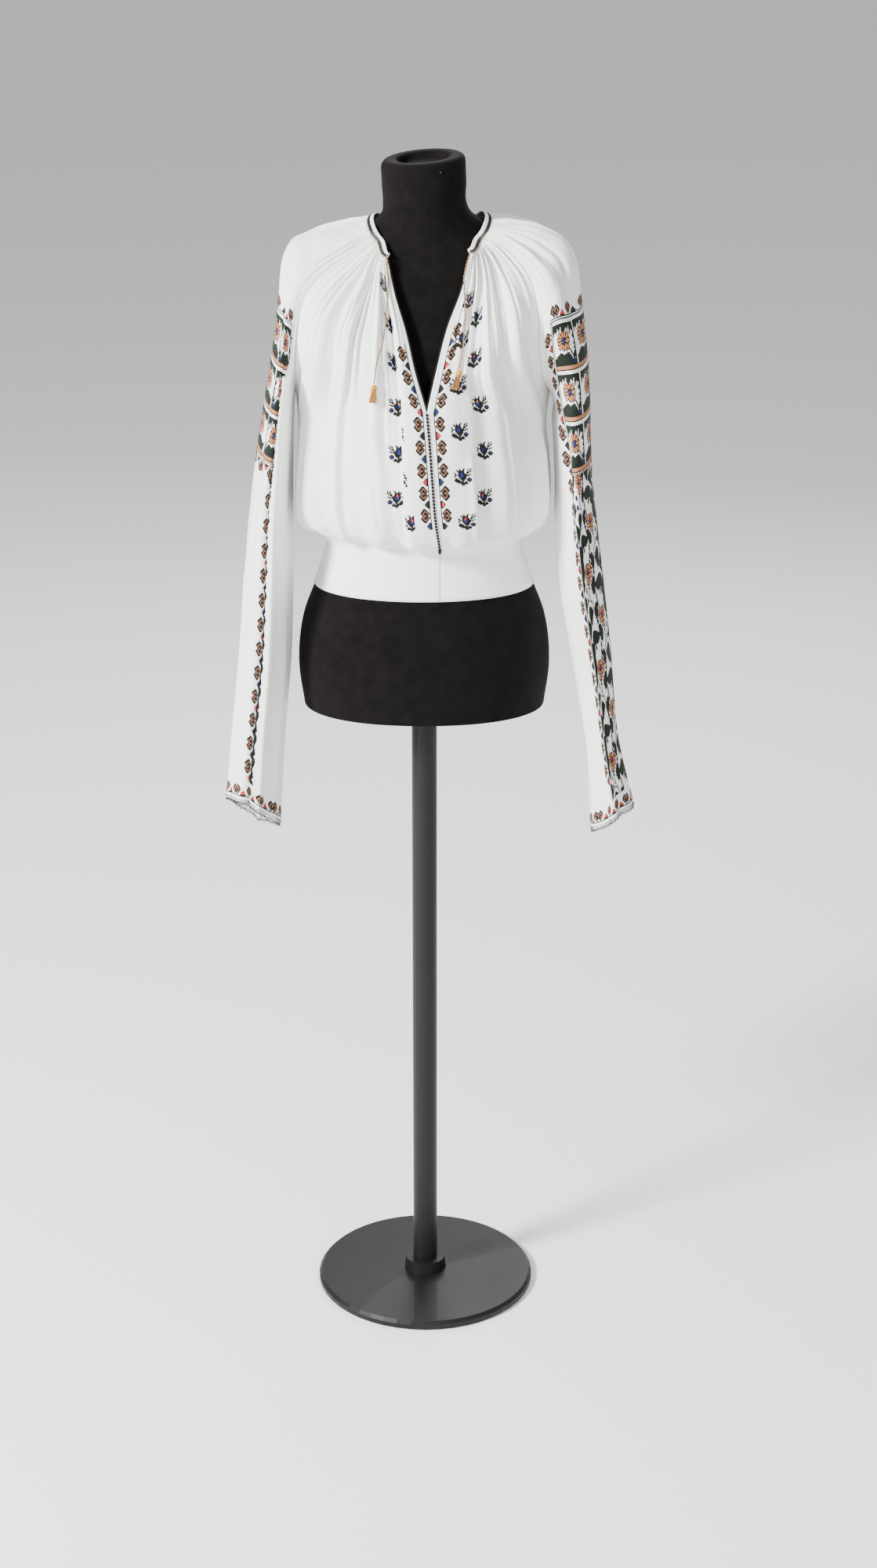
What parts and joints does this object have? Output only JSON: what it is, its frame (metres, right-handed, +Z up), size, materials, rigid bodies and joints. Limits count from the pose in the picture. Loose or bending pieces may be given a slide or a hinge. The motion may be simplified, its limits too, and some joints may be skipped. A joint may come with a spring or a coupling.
{
  "type": "romanian ie blouse on a limbless dress form",
  "caption": "White gathered Romanian blouse with raglan sleeves, a front slit, tasselled neck ties and dark cross-stitch, worn by a limbless dress form on a round stand.",
  "frame": {"origin": "on the floor, at the middle of the stand's round foot", "axes": "+Z up, -Y towards the front of the blouse, +X towards the wearer's left"},
  "size_m": [0.52, 0.29, 1.5052],
  "materials": {
    "white_cotton": "thin plain-woven gauze, matt",
    "black_thread": "matt crocheted and knotted cotton thread",
    "tan_twisted_thread": "two-colour twisted cord",
    "gold_thread": "soft stranded thread",
    "black_jersey": "matt knitted jersey",
    "black_stand_paint": "satin"
  },
  "bodies": {
    "root": {"front_left": "white_cotton", "front_right": "white_cotton", "back": "white_cotton", "altita_left": "white_cotton", "altita_right": "white_cotton", "sleeve_left": "white_cotton", "sleeve_right": "white_cotton", "neckband": "white_cotton", "slit_edging_left": "black_thread", "slit_edging_right": "black_thread", "centre_seam": "black_thread", "cuff_edging_left": "black_thread", "cuff_edging_right": "black_thread", "tie_left": "tan_twisted_thread", "tie_right": "tan_twisted_thread", "tassel_left": "gold_thread", "tassel_right": "gold_thread", "form_body": "black_jersey", "form_pole": "black_stand_paint", "form_foot": "black_stand_paint"}
  },
  "joints": []
}
